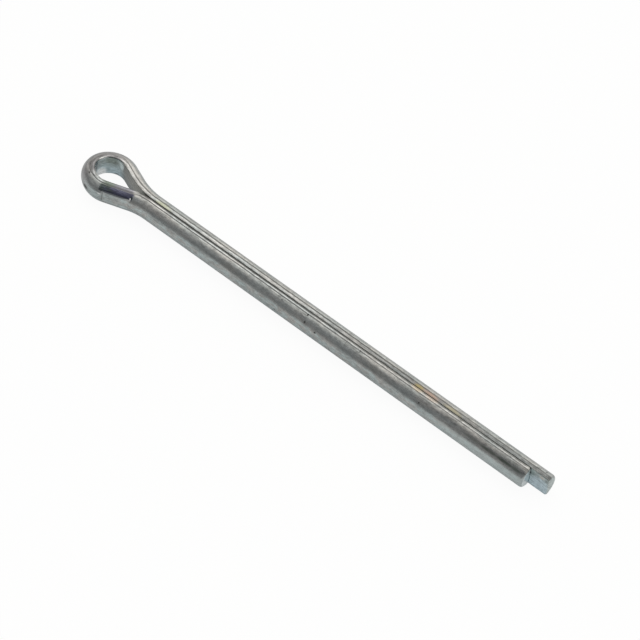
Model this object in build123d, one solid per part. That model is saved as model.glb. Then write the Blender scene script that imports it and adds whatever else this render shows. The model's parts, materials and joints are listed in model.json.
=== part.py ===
from build123d import *
import math
import os

# A cotter pin, folded from one length of half-round wire. Lengths are in millimetres, angles in degrees.
# X runs along the shank towards the tips, the long leg lies on the +Y side and the short leg on the -Y
# side, and Z is square to the plane that the wire is bent in. The origin is on the shank's axis, where
# both legs are straight for the first time below the eye.

# The two legs lie along each other and make a round shank, with a narrow seam between their flat sides
shank_diameter = 4.5
seam_gap = 0.3

# The nominal length runs from the eye's seat to the short leg's end
nominal_length = 80.0
long_leg_extra = 3.4
eye_length = 10.6

# The two edges where the wire's flat side meets its round side are rounded
edge_radius = 0.25

# The eye is a drop shape: tighter round its crown, flatter along its sides, a little off the axis
eye_hole_width = 5.0
eye_side_flattening = 0.66
eye_crown_tightening = 0.37
eye_offset = 0.12

# The flanks that close the eye, and the bends where they turn into the shank
long_flank_angle = 23.2
long_neck_radius = 13.88
short_flank_angle = 19.0
short_neck_radius = 11.88

# Two flats pressed into the short leg's flank by the forming tool, given by the angle from the bend
# plane up to the middle of each flat, and by half the angle that it takes of the wire's round side
flat_length = 5.0
upper_flat_angle = 55.0
upper_flat_half_span = 14.0
lower_flat_angle = 13.0
lower_flat_half_span = 27.5
flat_end_slope = 0.6

# The cut ends of the wire are rounded off on their round side. The middle of the rounding lies this
# share of its size inside the square corner, where a full quarter circle would have 0.29.
end_rounding = 0.35
end_roundness = 0.33

# Worked out from the sizes above
shank_radius = shank_diameter / 2
half_gap = seam_gap / 2
half_hole = eye_hole_width / 2
side_radius = half_hole + eye_side_flattening
crown_radius = half_hole - eye_crown_tightening
side_to_crown = side_radius - crown_radius
crown_centre_x = -math.sqrt(side_to_crown**2 - eye_side_flattening**2)
crown_half_turn = math.degrees(math.asin(eye_side_flattening / side_to_crown))
leg_thickness = shank_radius - half_gap
eye_seat_x = crown_centre_x - crown_radius - leg_thickness + eye_length
short_end_x = eye_seat_x + nominal_length
long_end_x = short_end_x + long_leg_extra

# How far a shape that is cut away reaches past the wire
tool_margin = 1.0


def wire_section():
    """The half-round wire cut across: x runs out from its flat side, y along the flat."""
    corner = math.sqrt(shank_radius**2 - half_gap**2)
    flat_side = Line((0, -corner), (0, corner))
    round_side = ThreePointArc((0, corner), (leg_thickness, 0), (0, -corner))
    half_round = make_face([flat_side, round_side])
    return fillet(half_round.vertices(), edge_radius)


def direction(angle):
    """The unit vector in the bend plane at an angle from +X."""
    return Vector(math.cos(math.radians(angle)), math.sin(math.radians(angle)), 0)


def section_at(point, facing):
    """The wire's section with its flat side on a point and its round side turned to the facing angle."""
    outward = direction(facing)
    return Plane(origin=point, x_dir=outward, z_dir=outward.cross(Vector(0, 0, 1))) * wire_section()


def straight(point, facing, length):
    """A straight run of wire, with the point where its flat side ends."""
    heading = direction(facing - 90)
    return extrude(section_at(point, facing), amount=length), point + heading * length


def bend(point, facing, radius, turn):
    """A bend of the flat side about a centre behind it, or in front of it where the turn is negative."""
    side = math.copysign(1, turn)
    centre = point - direction(facing) * radius * side
    solid = revolve(section_at(point, facing), Axis(centre, (0, 0, -side)), abs(turn))
    return solid, centre + direction(facing - turn) * radius * side


def rounded_end(end_x):
    """What is cut away round the rim of a leg's end: all that lies outside a turned, rounded edge."""
    rim = Vector(end_x - end_rounding, shank_radius)
    face_edge = Vector(end_x, shank_radius - end_rounding)
    inset = end_rounding * end_roundness
    middle = Vector(end_x - inset, shank_radius - inset)
    round_edge = ThreePointArc(rim, middle, face_edge)
    run_in = rim - (round_edge % 0) * tool_margin
    outer_y = shank_radius + tool_margin
    corners = [
        face_edge,
        Vector(end_x + tool_margin, face_edge.Y),
        Vector(end_x + tool_margin, outer_y),
        Vector(run_in.X, outer_y),
        run_in,
        rim,
    ]
    return revolve(make_face([round_edge, Polyline(corners)]), Axis.X, 360)


def pressed_flat(middle, facing, flat_angle, half_span):
    """What a flat tool presses away from a flank, with sloped ends."""
    outward = direction(facing)
    heading = direction(facing - 90)
    tilt = math.radians(flat_angle)
    press = outward * math.cos(tilt) + Vector(0, 0, math.sin(tilt))
    depth_radius = shank_radius * math.cos(math.radians(half_span))
    half_width = shank_radius * math.sin(math.radians(half_span)) + tool_margin
    origin = middle - outward * half_gap + press * depth_radius
    half_length = flat_length / 2
    half_top = half_length + tool_margin * flat_end_slope
    outline = Polyline(
        (-half_length, 0), (half_length, 0), (half_top, tool_margin), (-half_top, tool_margin), close=True
    )
    side_view = Plane(origin=origin, x_dir=heading, z_dir=heading.cross(press))
    return extrude(side_view * make_face(outline), amount=half_width, both=True)


def leg(flank_angle, neck_radius, end_x, offset, flats=()):
    """Half of the pin, from the middle of the crown to a tip, drawn on the +Y side."""
    crown_middle = Vector(crown_centre_x - crown_radius, offset)
    crown, side_start = bend(crown_middle, 180, crown_radius, crown_half_turn)
    side_turn = 90 - crown_half_turn + flank_angle
    side, flank_start = bend(side_start, 180 - crown_half_turn, side_radius, side_turn)
    facing = 90 - flank_angle
    neck_y = half_gap + neck_radius * (1 - math.cos(math.radians(flank_angle)))
    flank_length = (flank_start.Y - neck_y) / math.sin(math.radians(flank_angle))
    flank, neck_start = straight(flank_start, facing, flank_length)
    neck, shank_start = bend(neck_start, facing, neck_radius, -flank_angle)
    shank, _ = straight(shank_start, 90, end_x - shank_start.X)

    solid = crown + side + flank + neck + shank - rounded_end(end_x)
    flank_middle = (flank_start + neck_start) * 0.5
    for flat_angle, half_span in flats:
        solid -= pressed_flat(flank_middle, facing, flat_angle, half_span)
    return solid, shank_start.X


def cotter_pin():
    """Both legs joined at the crown, with the origin moved to where the straight shank begins."""
    flats = [(upper_flat_angle, upper_flat_half_span), (lower_flat_angle, lower_flat_half_span)]
    long_leg, long_start = leg(long_flank_angle, long_neck_radius, long_end_x, eye_offset)
    short_leg, short_start = leg(short_flank_angle, short_neck_radius, short_end_x, -eye_offset, flats)
    pin = long_leg + mirror(short_leg, about=Plane.XZ)
    shank_start = max(long_start, short_start)
    print("straight shank from", round(shank_start, 3), "to", round(short_end_x, 3))
    return Pos(-shank_start, 0, 0) * pin


os.makedirs("parts", exist_ok=True)
export_step(cotter_pin(), "parts/cotter_pin.step")
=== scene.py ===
import json
import math
import bmesh
import bpy
from mathutils import Matrix, Vector


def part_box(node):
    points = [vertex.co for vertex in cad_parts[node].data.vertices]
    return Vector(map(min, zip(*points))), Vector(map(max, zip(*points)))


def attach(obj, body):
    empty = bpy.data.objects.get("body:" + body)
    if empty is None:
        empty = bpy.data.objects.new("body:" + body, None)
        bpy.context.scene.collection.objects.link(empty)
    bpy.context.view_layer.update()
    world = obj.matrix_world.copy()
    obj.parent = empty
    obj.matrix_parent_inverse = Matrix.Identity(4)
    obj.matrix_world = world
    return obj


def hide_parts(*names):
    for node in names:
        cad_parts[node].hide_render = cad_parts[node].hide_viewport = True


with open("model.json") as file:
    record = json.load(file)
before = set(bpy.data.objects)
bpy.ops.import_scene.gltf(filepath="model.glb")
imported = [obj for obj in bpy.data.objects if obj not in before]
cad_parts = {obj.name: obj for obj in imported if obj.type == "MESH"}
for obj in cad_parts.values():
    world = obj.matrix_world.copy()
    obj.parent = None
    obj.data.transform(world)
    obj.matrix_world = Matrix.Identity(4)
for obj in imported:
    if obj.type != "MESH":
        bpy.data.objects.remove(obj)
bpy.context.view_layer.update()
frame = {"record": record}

# A cotter pin folded from half-round wire. Lengths are in metres and angles in degrees, in the part's
# own frame: X runs along the shank towards the tips, the long leg is on the +Y side, Z is up.
MM = 0.001

# Sizes of the pin's path: the line that the wire's flat side follows in the bend plane
SHANK_RADIUS = frame["record"]["mounts"][0]["dims"]["r_mm"] * MM
HALF_GAP = 0.03 * MM
HALF_HOLE = 2.38 * MM
SIDE_FLATTENING = 0.66 * MM
CROWN_TIGHTENING = 0.37 * MM
EYE_OFFSET = 0.12 * MM
LONG_FLANK_ANGLE = 23.2
LONG_NECK_RADIUS = 14.0 * MM
SHORT_FLANK_ANGLE = 19.0
SHORT_NECK_RADIUS = 12.0 * MM
LONG_LEG_EXTRA = 3.4 * MM

# The wire's section: a bead runs along each edge of its flat side, with a crease beside it. The lower
# bead's top is rounder
BEAD_RADIUS = 0.4207 * MM
BEAD_TOP_RADIUS = 1.11 * MM
LOWER_TOP_RADIUS = 0.65 * MM
BEAD_TOP_TURN = 20.0
CREASE_FROM_AXIS = 0.67 * MM
CREASE_DEPTH = 0.03 * MM
CREASE_HALF_WIDTH = 0.05 * MM

# Where bending ironed the beads down: the start and end along the wire in millimetres from the long
# leg's end, the length of each run-out, and the share of the bead that went
IRONED = [
    (88.9, 95.9, 0.6, 1.0),
    (98.6, 104.2, 0.7, 0.7),
]
# An ironed section runs straight from this angle of the round side to the bead's crest, and its inner
# corners are rounder
IRONED_FROM = 62.0
IRONED_CORNER = 0.22 * MM
LOWER_IRONED_CORNER = 0.40 * MM

# Two flats pressed into the short leg's flank: the angle from the bend plane up to the middle of each,
# half the angle that it takes of the round side, its length, and how far it lies past the flank's middle
UPPER_FLAT = (55.0, 14.0, 5.7 * MM, 0.13 * MM)
LOWER_FLAT = (13.0, 27.5, 4.6 * MM, 0.1 * MM)
UPPER_FLAT_LOWEST = UPPER_FLAT[0] - UPPER_FLAT[1]
UPPER_FLAT_HIGHEST = UPPER_FLAT[0] + UPPER_FLAT[1]
FLAT_END_SLOPE = 0.4

# The wire's two ends are rounded by tumbling, the flat side's edge by only a share of that. A narrow
# band round each end face keeps the face flat
END_ROUNDING = 0.46 * MM
FLAT_SIDE_SHARE = 0.12
CAP_SUPPORT = 0.02 * MM

# How fine the mesh is
ROUND_STEP = 3.0
BEAD_STEPS = 5
FLAT_STEPS = 6
CROWN_STEP = 2.5
NECK_STEP = 1.0
FLANK_STEP = 0.14 * MM
SHANK_STEP = 1.5 * MM
END_STEPS = 7

CAD_LOW, CAD_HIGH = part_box("cotter_pin")
LEG_THICKNESS = SHANK_RADIUS - HALF_GAP
SIDE_RADIUS = HALF_HOLE + SIDE_FLATTENING
CROWN_RADIUS = HALF_HOLE - CROWN_TIGHTENING
CROWN_CENTRE_X = CAD_LOW.x + LEG_THICKNESS + CROWN_RADIUS
CROWN_HALF_TURN = math.degrees(math.asin(SIDE_FLATTENING / (SIDE_RADIUS - CROWN_RADIUS)))
LONG_END = CAD_HIGH.x
SHORT_END = LONG_END - LONG_LEG_EXTRA
FLOOR_HEIGHT = CAD_LOW.z

# The camera of the photograph, with the width of its sensor in millimetres
CAMERA_PLACE = Vector((197.7, -244.1, 399.4)) * MM
CAMERA_AIM = Vector((33.88, 1.05, 0.0)) * MM
CAMERA_ROLL = 7.08
CAMERA_FIELD = 11.58
SENSOR_WIDTH = 36.0
NEAREST_SEEN = 0.01
FARTHEST_SEEN = 50.0


def unit(angle):
    """The unit vector in the bend plane at an angle from +X."""
    return Vector((math.cos(math.radians(angle)), math.sin(math.radians(angle)), 0))


def between(start, end, steps):
    """Evenly spaced values from start to end."""
    return [start + (end - start) * i / steps for i in range(steps + 1)]


# The path of one leg, drawn on the +Y side, as stations: a point of the flat side and the angle that the
# round side faces
def straight_stations(point, facing, length, steps):
    heading = unit(facing - 90)
    return [(point + heading * d, facing) for d in between(0, length, steps)]


def bend_stations(point, facing, radius, turn, step):
    side = math.copysign(1, turn)
    centre = point - unit(facing) * radius * side
    steps = math.ceil(abs(turn) / step)
    return [(centre + unit(facing - t) * radius * side, facing - t) for t in between(0, turn, steps)]


def shank_places(length):
    """Distances along a shank, closer together where its end is rounded."""
    plain = length - END_ROUNDING
    places = between(0, plain, math.ceil(plain / SHANK_STEP))
    for i in range(1, END_STEPS + 1):
        places.append(plain + END_ROUNDING * math.sin(math.radians(90 * i / END_STEPS)))
    return places


def leg_stations(flank_angle, neck_radius, end_x, offset):
    """Stations from the middle of the crown to a tip, and the middle of the flank."""
    crown_middle = Vector((CROWN_CENTRE_X - CROWN_RADIUS, offset, 0))
    crown = bend_stations(crown_middle, 180, CROWN_RADIUS, CROWN_HALF_TURN, CROWN_STEP)
    side_turn = 90 - CROWN_HALF_TURN + flank_angle
    side = bend_stations(crown[-1][0], crown[-1][1], SIDE_RADIUS, side_turn, CROWN_STEP)
    flank_start, facing = side[-1]
    neck_y = HALF_GAP + neck_radius * (1 - math.cos(math.radians(flank_angle)))
    flank_length = (flank_start.y - neck_y) / math.sin(math.radians(flank_angle))
    flank_steps = math.ceil(flank_length / FLANK_STEP)
    flank = straight_stations(flank_start, facing, flank_length, flank_steps)
    neck = bend_stations(flank[-1][0], facing, neck_radius, -flank_angle, NECK_STEP)
    shank_start = neck[-1][0]
    heading = unit(0)
    shank = [(shank_start + heading * d, 90) for d in shank_places(end_x - shank_start.x)]
    flank_middle = (flank_start + flank[-1][0]) / 2
    return crown + side[1:] + flank[1:] + neck[1:] + shank[1:], flank_middle


def mirrored(stations):
    """The same stations on the -Y side."""
    return [(Vector((point.x, -point.y, 0)), -facing) for point, facing in stations]


# The wire's section as a ring of points: c runs out from the flat side, w along it, and each point has
# its own outward direction
def arc_points(centre, radius, angles):
    points = []
    for angle in angles:
        out = (math.cos(math.radians(angle)), math.sin(math.radians(angle)))
        points.append((centre[0] + radius * out[0], centre[1] + radius * out[1], out[0], out[1]))
    return points


def grooved(point, depth):
    c, w, out_c, out_w = point
    return (c - out_c * depth, w - out_w * depth, out_c, out_w)


def bead_middle():
    """Where the middle of the bead's arc lies, and the angle of the arc at which it meets the crease."""
    crease_c = CREASE_FROM_AXIS - HALF_GAP
    crease_w = math.sqrt(SHANK_RADIUS**2 - CREASE_FROM_AXIS**2)
    from_middle = math.acos((crease_c - BEAD_RADIUS) / BEAD_RADIUS)
    middle_w = crease_w - BEAD_RADIUS * math.sin(from_middle)
    return middle_w, math.degrees(from_middle)


def round_side():
    """The round side's points from the bend plane to the crease, with one on each flat's borders."""
    crease_angle = math.degrees(math.acos(CREASE_FROM_AXIS / SHANK_RADIUS))
    rim_angle = crease_angle - math.degrees(CREASE_HALF_WIDTH / SHANK_RADIUS)
    marks = [UPPER_FLAT_LOWEST, UPPER_FLAT_HIGHEST]
    # The lower flat reaches below the bend plane, where the mirrored half has its lower border
    marks += [LOWER_FLAT[0] + LOWER_FLAT[1], LOWER_FLAT[1] - LOWER_FLAT[0]]
    marks = [0] + sorted(marks) + [rim_angle]
    angles = [0.0]
    for start, end in zip(marks, marks[1:]):
        angles += between(start, end, math.ceil((end - start) / ROUND_STEP))[1:]
    points = arc_points((-HALF_GAP, 0), SHANK_RADIUS, angles)
    crease = arc_points((-HALF_GAP, 0), SHANK_RADIUS, [crease_angle])[0]
    return points + [grooved(crease, CREASE_DEPTH)]


def half_section(top_radius):
    """Half of the section, from the middle of the round side over the bead to the flat side's middle."""
    middle_w, crease_angle = bead_middle()
    rim_angle = crease_angle + math.degrees(CREASE_HALF_WIDTH / BEAD_RADIUS)
    outer = arc_points((BEAD_RADIUS, middle_w), BEAD_RADIUS, between(rim_angle, 90, BEAD_STEPS))
    top_middle = (BEAD_RADIUS, middle_w + BEAD_RADIUS - top_radius)
    top_end = 90 + BEAD_TOP_TURN
    top = arc_points(top_middle, top_radius, between(90, top_end, BEAD_STEPS))
    c, w, out_c, out_w = top[-1]
    corner_radius = c / (1 + out_c)
    corner_middle = (corner_radius, w - corner_radius * out_w)
    corner = arc_points(corner_middle, corner_radius, between(top_end, 180, BEAD_STEPS))
    flat = [(0, w, -1, 0) for w in between(corner_middle[1], 0, FLAT_STEPS)[1:]]
    return round_side() + outer + top[1:] + corner[1:] + flat


def ironed(half, corner_radius):
    """The same half section with its crease bridged by a straight line, and a rounder inner corner."""
    crest = max(range(len(half)), key=lambda i: half[i][1])
    start = max(i for i in range(crest) if half[i][3] < math.sin(math.radians(IRONED_FROM)))
    corner_end = len(half) - 1 - FLAT_STEPS
    bridged = list(half)
    for i in range(start + 1, crest):
        share = (i - start) / (crest - start)
        c = half[start][0] + (half[crest][0] - half[start][0]) * share
        w = half[start][1] + (half[crest][1] - half[start][1]) * share
        bridged[i] = (c, w, *half[i][2:])
    middle = (corner_radius, half[crest][1] - corner_radius)
    corner = arc_points(middle, corner_radius, between(90, 180, corner_end - crest))
    bridged[crest + 1 : corner_end + 1] = corner[1:]
    return bridged


def whole_section(upper, lower):
    below = [(c, -w, out_c, -out_w) for c, w, out_c, out_w in lower]
    return upper + below[1:-1][::-1]


def smooth_step(value, start, end):
    share = min(max((value - start) / (end - start), 0.0), 1.0)
    return share * share * (3 - 2 * share)


def bead_share(run):
    """How much of the bead stands at a distance along the wire in millimetres."""
    share = 1.0
    for start, end, run_out, gone in IRONED:
        pressed = smooth_step(run, start - run_out, start + run_out)
        pressed *= 1 - smooth_step(run, end - run_out, end + run_out)
        share = min(share, 1 - gone * pressed)
    return share


def mixed(first, second, share):
    """A section part of the way from one section to another."""
    return [tuple(a + (b - a) * share for a, b in zip(p, q)) for p, q in zip(first, second)]


def end_inset(distance):
    """How far the section shrinks at a distance from the wire's end."""
    if distance >= END_ROUNDING:
        return 0.0
    from_middle = END_ROUNDING - distance
    return END_ROUNDING - math.sqrt(max(0.0, END_ROUNDING**2 - from_middle**2))


def wire_ring(station, section, inset):
    """The section's points in space at a station, drawn in by an inset, and less on the flat side."""
    point, facing = station
    outward = unit(facing)
    flat_inset = inset * FLAT_SIDE_SHARE
    narrower = 1 - inset / SHANK_RADIUS
    thinner = 1 - (inset + flat_inset) / LEG_THICKNESS
    ring = []
    for c, w, _, _ in section:
        ring.append(point + outward * (flat_inset + c * thinner) + Vector((0, 0, w * narrower)))
    return ring


def press_flat(rings, middle, facing, flat):
    """Moves what lies outside a pressed flat down onto it, with sloped ends."""
    flat_angle, half_span, length, shift = flat
    outward = unit(facing)
    heading = unit(facing + 90)
    middle = middle + heading * shift
    press = outward * math.cos(math.radians(flat_angle))
    press.z = math.sin(math.radians(flat_angle))
    axis = middle - outward * HALF_GAP
    depth_radius = SHANK_RADIUS * math.cos(math.radians(half_span))
    for ring in rings:
        for vertex in ring:
            beyond_end = abs((vertex - middle).dot(heading)) - length / 2
            limit = depth_radius + max(0.0, beyond_end) / FLAT_END_SLOPE
            excess = (vertex - axis).dot(press) - limit
            if excess > 0:
                vertex -= press * excess


def make_wire():
    """The whole wire in one sweep, from the long tip round the crown to the short tip."""
    upper = half_section(BEAD_TOP_RADIUS)
    lower = half_section(LOWER_TOP_RADIUS)
    beaded = whole_section(upper, lower)
    smooth = whole_section(ironed(upper, IRONED_CORNER), ironed(lower, LOWER_IRONED_CORNER))
    long_leg, _ = leg_stations(LONG_FLANK_ANGLE, LONG_NECK_RADIUS, LONG_END, EYE_OFFSET)
    short_leg, flank_middle = leg_stations(
        SHORT_FLANK_ANGLE, SHORT_NECK_RADIUS, SHORT_END, -EYE_OFFSET
    )
    stations = long_leg[::-1] + mirrored(short_leg)[1:]
    along = [0.0]
    for (start, _), (end, _) in zip(stations, stations[1:]):
        along.append(along[-1] + (end - start).length)
    length = along[-1]

    insets = [max(end_inset(place), end_inset(length - place)) for place in along]
    shares = [bead_share(place / MM) for place in along]
    rings = []
    for station, share, inset in zip(stations, shares, insets):
        rings.append(wire_ring(station, mixed(smooth, beaded, share), inset))
    flank_middle.y *= -1
    facing = SHORT_FLANK_ANGLE - 90
    for flat in (UPPER_FLAT, LOWER_FLAT):
        press_flat(rings[len(long_leg) :], flank_middle, facing, flat)
    distances = [(point - flank_middle).length for point, _ in stations]
    flank_along = along[distances.index(min(distances))]

    support = END_ROUNDING + CAP_SUPPORT
    rings = [wire_ring(stations[0], beaded, support)] + rings
    rings.append(wire_ring(stations[-1], beaded, support))
    places = [(0.0, 1.0)] + list(zip(along, shares)) + [(length, 1.0)]
    return beaded, rings, places, flank_along


def wire_mesh(section, rings, places):
    count = len(section)
    vertices = [vertex for ring in rings for vertex in ring]
    faces = []
    for i in range(len(rings) - 1):
        for k in range(count):
            after = (k + 1) % count
            corners = [(i, k), (i, after), (i + 1, after), (i + 1, k)]
            faces.append([ring * count + place for ring, place in corners])
    last = (len(rings) - 1) * count
    faces.append(list(range(count)))
    faces.append(list(range(last, last + count)))

    mesh = bpy.data.meshes.new("wire")
    mesh.from_pydata([tuple(v) for v in vertices], [], faces)
    wire_map = mesh.uv_layers.new(name="wire")
    section_map = mesh.uv_layers.new(name="section")
    for loop in mesh.loops:
        ring, place = divmod(loop.vertex_index, count)
        wire_map.data[loop.index].uv = places[ring]
        section_map.data[loop.index].uv = section[place][:2]

    shell = bmesh.new()
    shell.from_mesh(mesh)
    bmesh.ops.recalc_face_normals(shell, faces=shell.faces)
    for face in shell.faces:
        face.smooth = len(face.verts) == 4
    shell.to_mesh(mesh)
    shell.free()
    return mesh


def make_camera():
    data = bpy.data.cameras.new("camera")
    data.sensor_width = SENSOR_WIDTH
    data.angle = math.radians(CAMERA_FIELD)
    data.clip_start = NEAREST_SEEN
    data.clip_end = FARTHEST_SEEN
    camera = bpy.data.objects.new("camera", data)
    back = (CAMERA_PLACE - CAMERA_AIM).normalized()
    right = Vector((0, 0, 1)).cross(back).normalized()
    up = back.cross(right)
    upright = Matrix((right, up, back)).transposed()
    roll = Matrix.Rotation(math.radians(CAMERA_ROLL), 3, "Z")
    camera.matrix_world = Matrix.LocRotScale(CAMERA_PLACE, (upright @ roll).to_quaternion(), None)
    bpy.context.scene.collection.objects.link(camera)
    bpy.context.scene.camera = camera


def make_softbox():
    """The one lamp, over the back of the pin and turned towards it."""
    data = bpy.data.lights.new("top", "AREA")
    data.shape = "RECTANGLE"
    data.size, data.size_y = SOFTBOX_SIZE
    data.energy = SOFTBOX_POWER
    lamp = bpy.data.objects.new("top", data)
    lamp.location = SOFTBOX_PLACE
    lamp.rotation_euler = Vector(SOFTBOX_PLACE).to_track_quat("Z", "Y").to_euler()
    bpy.context.scene.collection.objects.link(lamp)


# Small helpers for shader trees: an input is a plain value or the output of another node
def add_node(tree, kind, inputs, **settings):
    node = tree.nodes.new(kind)
    for name, value in settings.items():
        setattr(node, name, value)
    for key, value in inputs.items():
        if isinstance(value, bpy.types.NodeSocket):
            tree.links.new(value, node.inputs[key])
        else:
            node.inputs[key].default_value = value
    return node


def calculate(tree, operation, *values):
    return add_node(tree, "ShaderNodeMath", dict(enumerate(values)), operation=operation).outputs[0]


def product(tree, *values):
    result = values[0]
    for value in values[1:]:
        result = calculate(tree, "MULTIPLY", result, value)
    return result


def total(tree, *values):
    result = values[0]
    for value in values[1:]:
        result = calculate(tree, "ADD", result, value)
    return result


def strongest(tree, *values):
    result = values[0]
    for value in values[1:]:
        result = calculate(tree, "MAXIMUM", result, value)
    return result


def fade(tree, value, start, end, low=0.0, high=1.0):
    """A smooth step: low up to the start, high from the end on."""
    inputs = {"Value": value, "From Min": start, "From Max": end, "To Min": low, "To Max": high}
    node = add_node(tree, "ShaderNodeMapRange", inputs, interpolation_type="SMOOTHSTEP")
    return node.outputs["Result"]


def inside(tree, value, low, high, edge):
    """One between two limits and zero outside them, with soft edges."""
    above = fade(tree, value, low - edge, low + edge)
    below = fade(tree, value, high - edge, high + edge, 1.0, 0.0)
    return product(tree, above, below)


def stretch(tree, vector, factors):
    node = add_node(tree, "ShaderNodeVectorMath", {0: vector, 1: factors}, operation="MULTIPLY")
    return node.outputs["Vector"]


def distance(tree, place, target):
    node = add_node(tree, "ShaderNodeVectorMath", {0: place, 1: target}, operation="DISTANCE")
    return node.outputs["Value"]


def near(tree, place, centre, reach, strength):
    """Strength at a centre, fading to zero at a reach of its own along each direction."""
    factors = tuple(1 / r for r in reach)
    scaled = tuple(c / r for c, r in zip(centre, reach))
    away = distance(tree, stretch(tree, place, factors), scaled)
    return fade(tree, away, 0.35, 1.0, strength, 0.0)


def noise(tree, place, waves, detail=2.0, roughness=0.5):
    inputs = {"Vector": stretch(tree, place, waves), "Scale": 1.0}
    inputs.update({"Detail": detail, "Roughness": roughness})
    return add_node(tree, "ShaderNodeTexNoise", inputs).outputs["Fac"]


def full(colour):
    """A colour as a node takes it: another node's output, or three numbers made opaque."""
    return colour if isinstance(colour, bpy.types.NodeSocket) else (*colour, 1)


def paint(tree, base, share, tone, mode="MIX"):
    """Lays a share of a tone over a colour."""
    inputs = {0: share, 6: full(base), 7: full(tone)}
    return add_node(tree, "ShaderNodeMix", inputs, data_type="RGBA", blend_type=mode).outputs[2]


def swing(tree, noise_value, low, high):
    """A noise turned into a value between two limits."""
    return fade(tree, noise_value, 0.3, 0.7, low, high)


def shaded(tree, colour, factor):
    """A colour made brighter or darker by a factor."""
    grey = add_node(tree, "ShaderNodeCombineColor", {0: factor, 1: factor, 2: factor}).outputs["Color"]
    return paint(tree, colour, 1.0, grey, "MULTIPLY")


# Marks of the photograph on the round side: the distance along the wire from the long leg's end, the
# angle up from the round side's middle, the reach along and across in millimetres, and the strength
PITS = [
    (138.0, 75.0, 0.22, 0.16, 0.9),
    (139.8, 70.5, 0.20, 0.28, 1.0),
    (140.0, 38.0, 0.25, 0.35, 0.7),
    (142.3, 25.5, 0.25, 0.22, 0.85),
    (51.4, 43.0, 0.35, 0.20, 0.8),
    (134.3, 1.0, 0.25, 0.16, 0.8),
    (134.8, 60.5, 0.20, 0.20, 0.5),
    (150.3, 73.0, 0.15, 0.40, 0.5),
    (147.6, 63.0, 0.14, 0.60, 0.3),
    (162.9, 40.0, 0.22, 0.20, 0.7),
    (165.0, 76.0, 0.25, 0.15, 0.7),
    (168.1, 75.0, 0.30, 0.15, 0.7),
    (95.7, 63.0, 0.25, 0.25, 0.8),
    (96.5, 7.0, 0.5, 0.35, 0.9),
    (1.2, 62.0, 0.25, 0.25, 0.7),
]
DARK_STREAKS = [
    (173.4, 48.0, 2.6, 0.40, 0.4),
    (176.4, 46.0, 2.6, 0.34, 0.75),
    (179.4, 46.0, 2.6, 0.34, 0.85),
    (181.6, 46.0, 1.6, 0.34, 0.65),
    (153.6, 47.0, 3.5, 0.6, 0.2),
    (125.1, 42.0, 3.5, 0.6, 0.2),
    (103.45, 51.0, 0.35, 0.4, 0.8),
    (123.2, 80.0, 0.5, 0.3, 0.4),
    (171.7, 77.0, 0.45, 0.3, 0.4),
]
# Painted glints: spots of near-white plate, given as the pits are
GLINT_SPOTS = [
    (103.3, 42.5, 0.13, 0.35, 1.0),
    (98.2, 23.0, 0.25, 0.2, 0.5),
]
# Painted reflections and painted shade on the flat side: the distance along the wire, the height, the
# reach along and up, the strength and the colour
FLAT_SIDE_LIGHT_AND_SHADE = [
    (91.0, 1.5, 1.5, 1.5, 0.5, (0.20, 0.23, 0.19)),
    (94.0, 1.4, 0.6, 2.4, 0.8, (0.16, 0.17, 0.18)),
    (94.8, 0.8, 0.3, 2.2, 0.5, (0.20, 0.21, 0.22)),
    (89.15, 0.9, 0.65, 1.0, 0.9, (0.80, 0.88, 0.88)),
    (90.1, -2.1, 0.9, 0.9, 0.8, (0.22, 0.25, 0.26)),
    (93.0, -1.5, 1.6, 1.6, 1.0, (1.0, 1.0, 1.0)),
    (1.4, -0.6, 2.6, 2.8, 0.8, (0.58, 0.68, 0.74)),
    (1.3, 1.55, 0.7, 0.5, 0.8, (0.62, 0.58, 0.53)),
    (3.2, 1.2, 0.9, 1.1, 0.7, (0.24, 0.30, 0.30)),
    (0.0, 2.06, 3.6, 0.16, 0.6, (0.16, 0.17, 0.17)),
]
# A glint on the crown's inner edge: its place along the wire, out and up, and its reach each way
CROWN_GLINT = ((92.4, 0.06, 2.13), (1.0, 0.24, 0.2))
# A tiny burr at the end of the upper flat, given as the pits are, and how many times as high as the
# draw lines it is
BURR = (103.3, 41.0, 0.2, 0.25, 1.0)
BURR_HEIGHT = 20.0
# Stains on the beads: the distance along the wire, the reach along it, the strength and the colour. All
# have the same middle and the same reach across the bead, out and up
STAINS = [
    (77.9, 2.2, 0.45, (0.42, 0.42, 0.26)),
    (25.4, 1.3, 0.85, (0.26, 0.21, 0.10)),
    (23.2, 2.2, 0.75, (0.31, 0.22, 0.175)),
    (18.9, 2.4, 0.5, (0.34, 0.30, 0.19)),
    (161.3, 1.6, 0.5, (0.60, 0.48, 0.34)),
    (164.2, 1.8, 0.4, (0.58, 0.45, 0.36)),
    (170.0, 0.55, 0.9, (0.18, 0.18, 0.17)),
]
STAIN_MIDDLE = (0.05, 2.1)
STAIN_REACH = (0.8, 1.2)
# The middle of a mark on the round side lies at most this high up, a little below the bead's crest
HIGHEST_MARK = 2.05

# Stretches of the wire, in millimetres from the long leg's end, and for the cut faces from either end
CUT_FACE = (0.01, 0.05)
LONG_SEAM = (LONG_LEG_EXTRA / MM + 0.8, 80.2)
LONG_FLANK = (74.0, 88.9)
LEG_CHANGE = (83.0, 88.0)
CROWN = (88.9, 96.1)
NECK = (104.0, 106.6)
SHORT_SEAM_START = 104.2
BESIDE_EYE = (122.0, 136.0)
SHORT_TIP = (150.0, 178.0)
TEAL_TIP = (155.0, 178.0)
# How far before the short leg's end the seam stops
SEAM_BEFORE_END = 0.6

# Zones across the section: angles up from the bend plane, heights, and distances out from the flat side
LOW_SIDE = (22.0, 36.0)
HIGH_SIDE = (42.0, 54.0)
UPPER_EDGE = (1.7, 1.9)
BEAD_OUT = (0.03, 0.75)
FLAT_SIDE_DEPTH = 0.04

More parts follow.
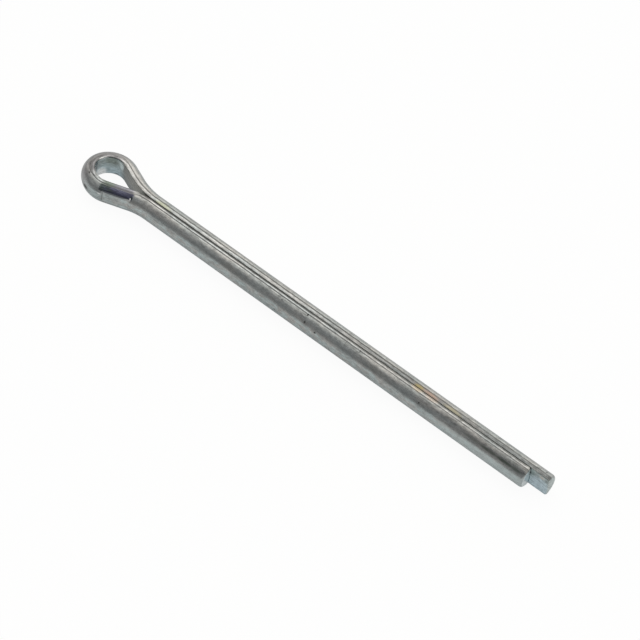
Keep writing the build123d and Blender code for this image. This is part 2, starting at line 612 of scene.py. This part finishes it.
# How fast each noise varies along the wire, out from its flat side and up, in waves a millimetre
LINE_WAVES = (0.10, 6, 6)
DASH_WAVES = (0.9, 5, 5)
GRAIN_WAVES = (1.6, 3.2, 3.2)
CLOUD_WAVES = (0.6, 1.4, 1.4)
PATCH_WAVES = (0.22, 0.8, 0.8)

# The plate's colours, among them painted reflections, painted highlights and painted shade
COOL_PLATE = (0.41, 0.425, 0.425)
WARM_PLATE = (0.44, 0.43, 0.42)
# A painted teal reflection of the pale floor, laid low on the round side
TEAL_REFLECTION = (0.41, 0.46, 0.465)
LOW_CROWN_TONE = (0.40, 0.385, 0.395)
CROWN_TONE = (0.270, 0.262, 0.268)
# Painted shade along the crown's inner edge
INNER_CROWN_SHADE = (0.175, 0.170, 0.175)
UPPER_WALL_TONE = (0.39, 0.43, 0.42)
# A painted pale blue reflection of the floor, low on the flat side
LOWER_WALL_REFLECTION = (0.50, 0.60, 0.64)
UPPER_FLANK_TONE = (0.265, 0.25, 0.225)
LOWER_FLANK_TONE = (0.18, 0.185, 0.18)
# The cut faces' pale, bluish tones, which paint a reflection of the floor on them
LONG_CUT_REFLECTION = (0.52, 0.57, 0.57)
SHORT_CUT_REFLECTION = (0.97, 1.0, 1.0)
# Painted shade in the seam and the creases
SEAM_AND_CREASE_SHADE = (0.06, 0.06, 0.06)
PIT_BLACK = (0.02, 0.02, 0.02)
STREAK_TONE = (0.09, 0.11, 0.09)
# The near-white tone of the painted glints
GLINT_TONE = (0.97, 0.97, 0.96)

# The upper flat's painted dark reflection of the room, and how far it covers the plate, with the painted
# shade along its edges, above and below it and in the line at the lower flat's ends. Each pair is the
# greenish colour towards the crown and the violet past it
LOW_FLAT_REFLECTION = ((0.115, 0.155, 0.125), (0.10, 0.11, 0.18))
HIGH_FLAT_REFLECTION = ((0.30, 0.35, 0.31), (0.43, 0.43, 0.54))
SHADE_ABOVE_FLAT = ((0.12, 0.145, 0.12), (0.165, 0.16, 0.185))
FLAT_EDGE_SHADE = (0.05, 0.05, 0.07)
SHADE_BELOW_FLAT = (0.075, 0.08, 0.10)
FLAT_LINE_SHADE = (0.10, 0.10, 0.10)
FLAT_REFLECTION_SHARE = 0.92

# The plate's fine relief
RELIEF_STRENGTH = 0.25
RELIEF_DEPTH = 0.01 * MM


class Wire:
    """Where a point of the wire lies, in millimetres and degrees, with the plate's noises and zones."""

    def __init__(self, tree, wire_length, flank_along):
        lengthwise_uv = add_node(tree, "ShaderNodeUVMap", {}, uv_map="wire").outputs["UV"]
        section_uv = add_node(tree, "ShaderNodeUVMap", {}, uv_map="section").outputs["UV"]
        lengthwise = add_node(tree, "ShaderNodeSeparateXYZ", {"Vector": lengthwise_uv}).outputs
        across = add_node(tree, "ShaderNodeSeparateXYZ", {"Vector": section_uv}).outputs
        self.length = wire_length / MM
        self.along = calculate(tree, "MULTIPLY", lengthwise["X"], 1 / MM)
        self.past_flank = calculate(tree, "SUBTRACT", self.along, flank_along / MM)
        self.bead_share = lengthwise["Y"]
        self.out = calculate(tree, "MULTIPLY", across["X"], 1 / MM)
        self.up = calculate(tree, "MULTIPLY", across["Y"], 1 / MM)
        parts = {0: self.along, 1: self.out, 2: self.up}
        self.place = add_node(tree, "ShaderNodeCombineXYZ", parts).outputs["Vector"]
        from_axis = calculate(tree, "ADD", self.out, HALF_GAP / MM)
        turned = calculate(tree, "ARCTAN2", self.up, from_axis)
        self.angle = calculate(tree, "DEGREES", turned)
        self.add_noises(tree)
        self.add_zones(tree)

    def add_noises(self, tree):
        self.lines = noise(tree, self.place, LINE_WAVES, 3.0)
        self.dashes = noise(tree, self.place, DASH_WAVES)
        self.grain = noise(tree, self.place, GRAIN_WAVES, 3.0, 0.6)
        self.clouds = noise(tree, self.place, CLOUD_WAVES)
        self.patches = noise(tree, self.place, PATCH_WAVES)

    def add_zones(self, tree):
        self.flat_side = inside(tree, self.out, -1.0, FLAT_SIDE_DEPTH, FLAT_SIDE_DEPTH)
        self.low_side = fade(tree, self.angle, *LOW_SIDE, 1.0, 0.0)
        self.high_side = fade(tree, self.angle, *HIGH_SIDE)
        self.long_leg = fade(tree, self.along, *LEG_CHANGE, 1.0, 0.0)
        self.upper_edge = fade(tree, self.up, *UPPER_EDGE)
        bead_out = inside(tree, self.out, *BEAD_OUT, 0.03)
        self.on_bead = product(tree, bead_out, self.upper_edge, self.bead_share)
        face, past_face = CUT_FACE
        near_start = fade(tree, self.along, face, past_face, 1.0, 0.0)
        near_end = fade(tree, self.along, self.length - past_face, self.length - face)
        self.end_face = strongest(tree, near_start, near_end)


def centre_of(run, angle):
    """The place of a mark on the round side."""
    turned = math.radians(angle)
    out = max(SHANK_RADIUS * math.cos(turned) - HALF_GAP, 0) / MM
    return (run, out, min(SHANK_RADIUS * math.sin(turned) / MM, HIGHEST_MARK))


def spots(tree, wire, marks):
    """The strongest of a list of marks on the round side."""
    values = []
    for run, angle, reach_along, reach_across, strength in marks:
        reach = (reach_along, reach_across, reach_across)
        values.append(near(tree, wire.place, centre_of(run, angle), reach, strength))
    return strongest(tree, *values)


def round_side_colour(tree, wire):
    """Bluish and warmer patches, with a painted teal reflection of the floor low down, in patches and
    strongest at the short tip.
    """
    colour = paint(tree, COOL_PLATE, fade(tree, wire.patches, 0.36, 0.64), WARM_PLATE)
    teal_tip = fade(tree, wire.along, *TEAL_TIP, 0.0, 0.7)
    teal = strongest(tree, fade(tree, wire.clouds, 0.42, 0.60), teal_tip)
    return paint(tree, colour, product(tree, teal, wire.low_side, 0.8), TEAL_REFLECTION)


def with_crown(tree, wire, colour):
    """The crown is duller than the rest of the round side and darker higher up, with painted shade along
    its inner edge that holds back the lamp's highlight there.
    """
    tone = paint(tree, LOW_CROWN_TONE, fade(tree, wire.angle, 25.0, 60.0), CROWN_TONE)
    # Painted shade along the inner edge, where the lamp's highlight would fall
    inner_edge = fade(tree, wire.out, 0.45, 0.85, 1.0, 0.0)
    inner_edge = product(tree, inner_edge, fade(tree, wire.along, 89.5, 92.0, 0.2, 1.0))
    tone = paint(tree, tone, inner_edge, INNER_CROWN_SHADE)
    on_crown = inside(tree, wire.along, *CROWN, 1.0)
    share = product(tree, on_crown, fade(tree, wire.angle, -5.0, 20.0), 0.92)
    return paint(tree, colour, share, tone)


def flat_side_colour(tree, wire):
    """A painted pale blue reflection of the floor low in the crown and a darker tone higher up, grey
    along the long flank, and listed spots of painted reflection and painted shade.
    """
    low = fade(tree, wire.up, -1.9, 1.6, 1.0, 0.0)
    low = total(tree, low, swing(tree, wire.clouds, -0.15, 0.15))
    colour = paint(tree, UPPER_WALL_TONE, low, LOWER_WALL_REFLECTION)
    flank_tone = paint(tree, LOWER_FLANK_TONE, fade(tree, wire.up, -1.8, 0.6), UPPER_FLANK_TONE)
    in_flank = inside(tree, wire.along, *LONG_FLANK, 0.9)
    colour = paint(tree, colour, product(tree, in_flank, 0.95), flank_tone)
    # Spots of painted reflection and painted shade
    for run, up, reach_along, reach_up, strength, tone in FLAT_SIDE_LIGHT_AND_SHADE:
        share = near(tree, wire.place, (run, 0.0, up), (reach_along, 1.0, reach_up), strength)
        colour = paint(tree, colour, share, tone)
    return colour


def round_side_light_and_shade(tree, wire):
    """Painted light and shade on the round side: darker on top and lighter below towards the short tip,
    lighter low down beside the eye and on the short leg's shoulder, and darker on the long leg's far
    side.
    """
    off_bead = calculate(tree, "SUBTRACT", 1.0, wire.on_bead)
    short_tip = fade(tree, wire.along, *SHORT_TIP)
    darker_top = product(tree, short_tip, off_bead, wire.high_side, -0.30)
    lighter_below = product(tree, short_tip, wire.low_side, 0.22)
    beside_eye = product(tree, fade(tree, wire.along, *BESIDE_EYE, 1.0, 0.0), wire.low_side, 0.08)
    shoulder = product(tree, inside(tree, wire.angle, 48.0, 72.0, 6.0), 0.10)
    shoulder = product(tree, shoulder, inside(tree, wire.along, 112.0, 132.0, 6.0))
    far_side = product(tree, inside(tree, wire.angle, 20.0, 52.0, 8.0), wire.long_leg, -0.12)
    far_side = product(tree, far_side, fade(tree, wire.along, 52.0, 66.0))
    return total(tree, darker_top, lighter_below, beside_eye, shoulder, far_side)


def bead_light_and_shade(tree, wire):
    """Painted shade on both beads, and a painted highlight along the short leg's crease rim."""
    outer_part = fade(tree, wire.out, 0.32, 0.52, 0.0, -0.32)
    short_bead = product(tree, outer_part, fade(tree, wire.along, 128.0, 148.0), wire.on_bead)
    inner_part = fade(tree, wire.out, 0.15, 0.45, 0.25, 0.0)
    towards_tip = fade(tree, wire.along, 24.0, 66.0, 0.53, 0.0)
    long_bead = product(tree, strongest(tree, inner_part, towards_tip), wire.on_bead, wire.long_leg)
    # A painted highlight along the rim of the short leg's crease
    rim = product(tree, inside(tree, wire.angle, 66.5, 70.0, 1.2), 0.25)
    rim = product(tree, rim, inside(tree, wire.along, 106.0, 134.0, 8.0))
    return total(tree, short_bead, product(tree, long_bead, -1.0), rim)


def mottle(tree, wire):
    """Brightness by clouds, grain and fine lines, weaker in the short leg's shade and at its tip."""
    dashes = fade(tree, wire.dashes, 0.35, 0.65, -0.12, 0.10)
    dashes = product(tree, dashes, fade(tree, wire.angle, 56.0, 66.0))
    grain = swing(tree, wire.grain, -0.12, 0.10)
    lines = swing(tree, wire.lines, -0.06, 0.06)
    clouds = swing(tree, wire.clouds, -0.05, 0.05)
    patches = swing(tree, wire.patches, -0.04, 0.04)
    amount = total(tree, grain, lines, clouds, patches, dashes)
    in_shade = inside(tree, wire.angle, 28.0, 48.0, 6.0)
    at_tip = product(tree, fade(tree, wire.along, *TEAL_TIP), wire.low_side)
    strength = total(tree, product(tree, strongest(tree, in_shade, at_tip), -0.9), 1.7)
    return total(tree, product(tree, amount, strength), 1.0)


def pressed_zones(tree, wire):
    """Where the two pressed flats are, and the line of painted shade along the lower one's ends."""
    masks = []
    for angle, half_span, length, shift in (UPPER_FLAT, LOWER_FLAT):
        ends = ((shift - length / 2) / MM, (shift + length / 2) / MM)
        on_flat = inside(tree, wire.past_flank, *ends, 0.06)
        in_span = inside(tree, wire.angle, angle - half_span, angle + half_span, 1.5)
        masks.append(product(tree, on_flat, in_span))
    upper_flat, lower_flat = masks
    lower_angle, lower_span, lower_length, lower_shift = LOWER_FLAT
    crown_end = (lower_shift - lower_length / 2) / MM
    shank_end = (lower_shift + lower_length / 2) / MM
    crown_line = inside(tree, wire.past_flank, crown_end - 0.06, crown_end + 0.05, 0.05)
    shank_line = inside(tree, wire.past_flank, shank_end - 0.03, shank_end + 0.06, 0.05)
    line = strongest(tree, crown_line, product(tree, shank_line, 0.35))
    on_side = inside(tree, wire.angle, lower_angle - lower_span, lower_angle + lower_span - 8, 3.0)
    return upper_flat, lower_flat, product(tree, line, on_side)


def flat_reflection_tone(tree, wire, violet):
    """The upper flat's painted dark reflection: blotched, with painted shade darkest along its lower
    edge and its shank end.
    """
    lower_tone = paint(tree, LOW_FLAT_REFLECTION[0], violet, LOW_FLAT_REFLECTION[1])
    upper_tone = paint(tree, HIGH_FLAT_REFLECTION[0], violet, HIGH_FLAT_REFLECTION[1])
    height = fade(tree, wire.angle, UPPER_FLAT_LOWEST, UPPER_FLAT_HIGHEST)
    tone = paint(tree, lower_tone, height, upper_tone)
    blotches = total(tree, wire.dashes, product(tree, wire.clouds, 0.6), -0.3)
    tone = shaded(tree, tone, fade(tree, blotches, 0.35, 0.65, 0.68, 1.30))
    lower_edge = fade(tree, wire.angle, UPPER_FLAT_LOWEST + 2, UPPER_FLAT_LOWEST + 9, 0.85, 0.0)
    lower_edge = product(tree, lower_edge, fade(tree, wire.clouds, 0.35, 0.6, 0.2, 1.0))
    below_burr = fade(tree, wire.angle, UPPER_FLAT_LOWEST + 10, UPPER_FLAT_LOWEST + 16, 1.0, 0.0)
    shank_end = product(tree, fade(tree, wire.past_flank, 2.35, 2.75, 0.0, 0.85), below_burr)
    return paint(tree, tone, strongest(tree, lower_edge, shank_end), FLAT_EDGE_SHADE)


def pressed_colour(tree, wire, colour, upper_flat, flat_line):
    """The upper flat's painted dark reflection, painted shade in rims below and above it, and painted
    shade in the line at the lower flat's ends.
    """
    ragged = total(tree, wire.past_flank, swing(tree, wire.clouds, -0.8, 0.8))
    violet = fade(tree, ragged, -1.9, -0.5)
    colour = paint(tree, colour, product(tree, upper_flat, FLAT_REFLECTION_SHARE), flat_reflection_tone(tree, wire, violet))

    bowed = product(tree, inside(tree, wire.past_flank, -2.4, 1.7, 0.9), 8.0)
    angle = total(tree, wire.angle, bowed)
    below = fade(tree, angle, UPPER_FLAT_LOWEST - 2.5, UPPER_FLAT_LOWEST + 1.5)
    off_flat = fade(tree, wire.angle, UPPER_FLAT_LOWEST - 1, UPPER_FLAT_LOWEST + 1, 1.0, 0.0)
    below = product(tree, below, off_flat, inside(tree, wire.past_flank, -2.75, 2.5, 0.15), 0.85)
    colour = paint(tree, colour, below, SHADE_BELOW_FLAT)

    above = fade(tree, wire.angle, UPPER_FLAT_HIGHEST - 3, UPPER_FLAT_HIGHEST + 3)
    above = product(tree, above, inside(tree, wire.past_flank, -2.6, 2.8, 0.5), 0.85)
    colour = paint(tree, colour, above, paint(tree, SHADE_ABOVE_FLAT[0], violet, SHADE_ABOVE_FLAT[1]))
    return paint(tree, colour, product(tree, flat_line, 0.6), FLAT_LINE_SHADE)


def crease_shade(tree, wire):
    """Painted shade in the creases beside the beads, a wider band of it on the long leg."""
    height = calculate(tree, "ABSOLUTE", wire.up)
    parts = {0: wire.out, 1: height, 2: 0.0}
    section_place = add_node(tree, "ShaderNodeCombineXYZ", parts).outputs["Vector"]
    crease_up = math.sqrt(SHANK_RADIUS**2 - CREASE_FROM_AXIS**2)
    away = distance(tree, section_place, ((CREASE_FROM_AXIS - HALF_GAP) / MM, crease_up / MM, 0))
    narrow = fade(tree, away, 0.05, 0.15, 0.7, 0.0)
    wide = product(tree, fade(tree, away, 0.06, 0.22, 0.7, 0.0), wire.long_leg)
    at_long_tip = fade(tree, wire.along, 12.0, 40.0, 0.15, 1.0)
    at_short_tip = fade(tree, wire.along, 132.0, 156.0, 1.0, 0.3)
    return product(tree, strongest(tree, narrow, wide), wire.bead_share, at_long_tip, at_short_tip)


def seam_shade(tree, wire):
    """Painted shade in the seam between the closed legs, on the short leg's bead where it slopes
    inwards, and over the bead at the neck.
    """
    long_part = inside(tree, wire.along, *LONG_SEAM, 0.6)
    short_part = inside(tree, wire.along, SHORT_SEAM_START, wire.length - SEAM_BEFORE_END, 0.5)
    long_seam = product(tree, fade(tree, wire.out, 0.0, 0.03, 0.9, 0.0), long_part)
    short_seam = product(tree, fade(tree, wire.out, 0.0, 0.05, 0.9, 0.0), short_part)
    inner_slope = product(tree, fade(tree, wire.out, 0.23, 0.36, 1.0, 0.0), wire.upper_edge)
    faded = fade(tree, wire.along, 125.0, 165.0, 0.9, 0.6)
    inner_slope = product(tree, inner_slope, short_part, faded)
    at_neck = product(tree, fade(tree, wire.out, 0.50, 0.62, 0.5, 0.0), wire.upper_edge)
    at_neck = product(tree, at_neck, inside(tree, wire.along, *NECK, 0.6))
    return strongest(tree, long_seam, short_seam, inner_slope, at_neck)


def marked(tree, wire, colour, glints):
    """Dark streaks, pits, painted glints and stains, where the photograph has them."""
    broken = fade(tree, wire.grain, 0.35, 0.55, 0.6, 1.0)
    colour = paint(tree, colour, product(tree, spots(tree, wire, DARK_STREAKS), broken), STREAK_TONE)
    colour = paint(tree, colour, spots(tree, wire, PITS), PIT_BLACK)
    colour = paint(tree, colour, glints, GLINT_TONE)
    for run, reach, strength, stain in STAINS:
        share = near(tree, wire.place, (run, *STAIN_MIDDLE), (reach, *STAIN_REACH), strength)
        colour = paint(tree, colour, product(tree, wire.on_bead, share), stain)
    return colour


def plate_colour(tree, wire, upper_flat, flat_line, glints):
    """The two sides' colours with painted reflections on them, painted light and shade on the round side
    and beads, and the cut faces' painted reflection; then the upper flat's painted dark reflection,
    painted shade in the seam and creases, and marks.
    """
    colour = with_crown(tree, wire, round_side_colour(tree, wire))
    colour = paint(tree, colour, wire.flat_side, flat_side_colour(tree, wire))
    # Painted light and shade on the round side and the beads
    painted_light_and_shade = total(tree, round_side_light_and_shade(tree, wire), bead_light_and_shade(tree, wire), 1.0)
    colour = shaded(tree, colour, painted_light_and_shade)
    # Painted reflection of the floor on the cut faces
    cut_face_reflection = paint(tree, SHORT_CUT_REFLECTION, wire.long_leg, LONG_CUT_REFLECTION)
    colour = paint(tree, colour, product(tree, wire.end_face, 0.9), cut_face_reflection)
    colour = shaded(tree, colour, mottle(tree, wire))
    colour = pressed_colour(tree, wire, colour, upper_flat, flat_line)
    # Painted shade in the creases and the seam
    painted_shade = strongest(tree, crease_shade(tree, wire), seam_shade(tree, wire))
    colour = paint(tree, colour, painted_shade, SEAM_AND_CREASE_SHADE)
    return marked(tree, wire, colour, glints)


def zinc_plate(wire_length, flank_along):
    material = bpy.data.materials.new("zinc_plate")
    material.use_nodes = True
    tree = material.node_tree
    shader = tree.nodes["Principled BSDF"]
    shader.inputs["Metallic"].default_value = 1.0
    wire = Wire(tree, wire_length, flank_along)
    upper_flat, lower_flat, flat_line = pressed_zones(tree, wire)
    # The painted glints, which are also less rough
    glint = near(tree, wire.place, *CROWN_GLINT, 1.0)
    glints = strongest(tree, spots(tree, wire, GLINT_SPOTS), glint)
    colour = plate_colour(tree, wire, upper_flat, flat_line, glints)
    tree.links.new(colour, shader.inputs["Base Color"])

    rough = swing(tree, wire.grain, 0.25, 0.33)
    rough = total(tree, rough, product(tree, wire.on_bead, 0.08))
    smooth = strongest(tree, upper_flat, product(tree, lower_flat, 0.6), wire.flat_side, glints)
    rough = product(tree, rough, fade(tree, smooth, 0.0, 1.0, 1.0, 0.5))
    tree.links.new(rough, shader.inputs["Roughness"])

    burr = product(tree, spots(tree, wire, [BURR]), BURR_HEIGHT)
    relief = total(tree, wire.lines, product(tree, wire.grain, 0.5), burr)
    inputs = {"Height": relief, "Strength": RELIEF_STRENGTH, "Distance": RELIEF_DEPTH}
    bump = add_node(tree, "ShaderNodeBump", inputs)
    tree.links.new(bump.outputs["Normal"], shader.inputs["Normal"])
    return material


# The floor, and how much of its own shading gives way to plain white for the camera and to a pale
# tone for reflections
FLOOR_SIZE = 8.0
FLOOR_TONE = (0.92, 0.93, 0.92)
FLOOR_ROUGHNESS = 0.9
FLOOR_WHITENING = 0.94
FLOOR_REFLECTED = 0.6
WHITE = (1, 1, 1)
REFLECTED_TONE = (0.55, 0.575, 0.585)


def make_floor():
    bpy.ops.mesh.primitive_plane_add(size=FLOOR_SIZE, location=(0, 0, FLOOR_HEIGHT))
    floor = bpy.context.object
    floor.name = "floor"
    material = bpy.data.materials.new("floor")
    material.use_nodes = True
    tree = material.node_tree
    shader = tree.nodes["Principled BSDF"]
    shader.inputs["Base Color"].default_value = (*FLOOR_TONE, 1)
    shader.inputs["Roughness"].default_value = FLOOR_ROUGHNESS
    rays = add_node(tree, "ShaderNodeLightPath", {}).outputs
    tone = paint(tree, WHITE, rays["Is Glossy Ray"], REFLECTED_TONE)
    white = add_node(tree, "ShaderNodeEmission", {"Color": tone}).outputs["Emission"]
    seen = calculate(tree, "MULTIPLY", rays["Is Camera Ray"], FLOOR_WHITENING)
    reflected = calculate(tree, "MULTIPLY", rays["Is Glossy Ray"], FLOOR_REFLECTED)
    share = calculate(tree, "ADD", seen, reflected)
    mix = add_node(tree, "ShaderNodeMixShader", {0: share, 1: shader.outputs["BSDF"], 2: white})
    tree.links.new(mix.outputs[0], tree.nodes["Material Output"].inputs["Surface"])
    floor.data.materials.append(material)


# The studio is bright above and behind the pin, most of all at the very back, and dim to dark on the
# other side, with a darker spot in the room on the camera's side
BRIGHT_SIDE = (0.0, 0.906, 0.423)
ROOM_SIDE = (0.0, -0.585, 0.811)
BACK_SIDE = (0, 1, 0)
BRIGHT_LIGHT = (1.03, 1.025, 0.965)
BACK_LIGHT = (1.30, 1.29, 1.22)
DIM_LIGHT = (0.445, 0.45, 0.44)
DARK_LIGHT = (0.29, 0.30, 0.30)
ROOM_LIGHT = (0.24, 0.24, 0.27)
SOFTBOX_PLACE = (-0.74, 0.63, 1.75)
SOFTBOX_SIZE = (1.2, 1.2)
SOFTBOX_POWER = 5


def light_the_scene():
    world = bpy.data.worlds.new("studio")
    world.use_nodes = True
    tree = world.node_tree
    direction = add_node(tree, "ShaderNodeTexCoord", {}).outputs["Generated"]

    def towards(side):
        inputs = {0: direction, 1: side}
        return add_node(tree, "ShaderNodeVectorMath", inputs, operation="DOT_PRODUCT").outputs["Value"]

    bright = fade(tree, towards(BRIGHT_SIDE), -0.12, 0.16)
    dim = fade(tree, towards(BRIGHT_SIDE), -0.60, -0.05)
    room = fade(tree, towards(ROOM_SIDE), 0.965, 0.99)
    behind = fade(tree, towards(BACK_SIDE), 0.75, 0.95)
    dark = paint(tree, DARK_LIGHT, dim, DIM_LIGHT)
    dark = paint(tree, dark, room, ROOM_LIGHT)
    light = paint(tree, BRIGHT_LIGHT, behind, BACK_LIGHT)
    colour = paint(tree, dark, bright, light)
    tree.links.new(colour, tree.nodes["Background"].inputs["Color"])
    bpy.context.scene.world = world
    make_softbox()


make_camera()
light_the_scene()
make_floor()

section, rings, places, flank_along = make_wire()
pin = bpy.data.objects.new("pin_visual", wire_mesh(section, rings, places))
bpy.context.scene.collection.objects.link(pin)
pin.data.materials.append(zinc_plate(places[-1][0], flank_along))
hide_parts("cotter_pin")
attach(pin, "root")

bpy.context.scene.view_settings.view_transform = "Standard"
